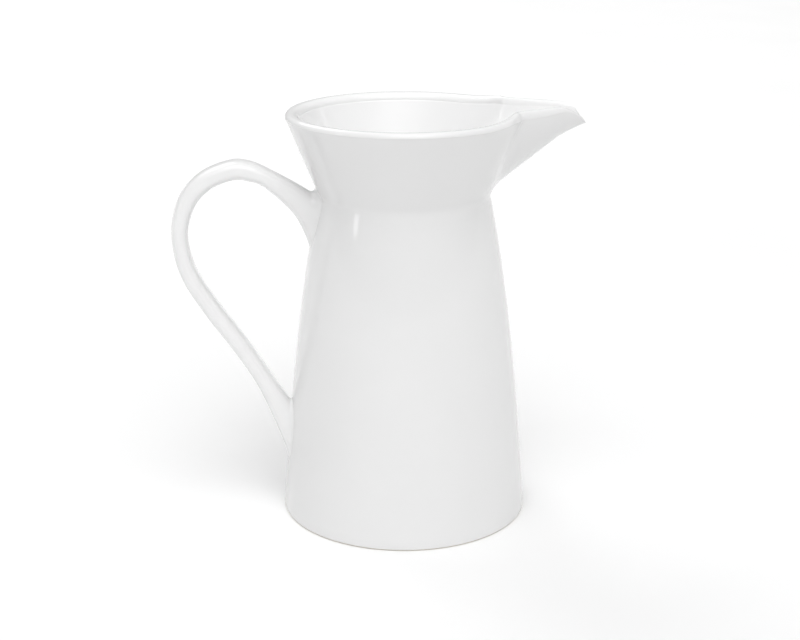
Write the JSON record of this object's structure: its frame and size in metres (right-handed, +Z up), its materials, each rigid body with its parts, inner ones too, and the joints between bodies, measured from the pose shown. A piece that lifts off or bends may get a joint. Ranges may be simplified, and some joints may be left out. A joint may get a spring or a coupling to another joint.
{
  "type": "ceramic pitcher",
  "caption": "Tall white glazed pitcher with a tapered body, sharp waist, flared collar with a thickened rim, long beak spout and looped strap handle.",
  "frame": {"origin": "centre of the foot ring on the rest plane, on the axis of the round body", "axes": "+Z up along the body's axis, +X towards the spout, -X towards the handle, mirror-symmetric about the XZ plane"},
  "size_m": [0.229, 0.1396, 0.2326],
  "materials": {
    "white_glaze": "clear gloss glaze over white porcelain",
    "bare_clay": "bare fired clay, matt and slightly rough"
  },
  "bodies": {
    "root": {"foot_ring": "bare_clay", "base_disc": "white_glaze", "body_wall": "white_glaze", "collar": "white_glaze", "spout": "white_glaze", "handle": "white_glaze", "upper_handle_joint": "white_glaze", "lower_handle_joint": "white_glaze"}
  },
  "joints": []
}
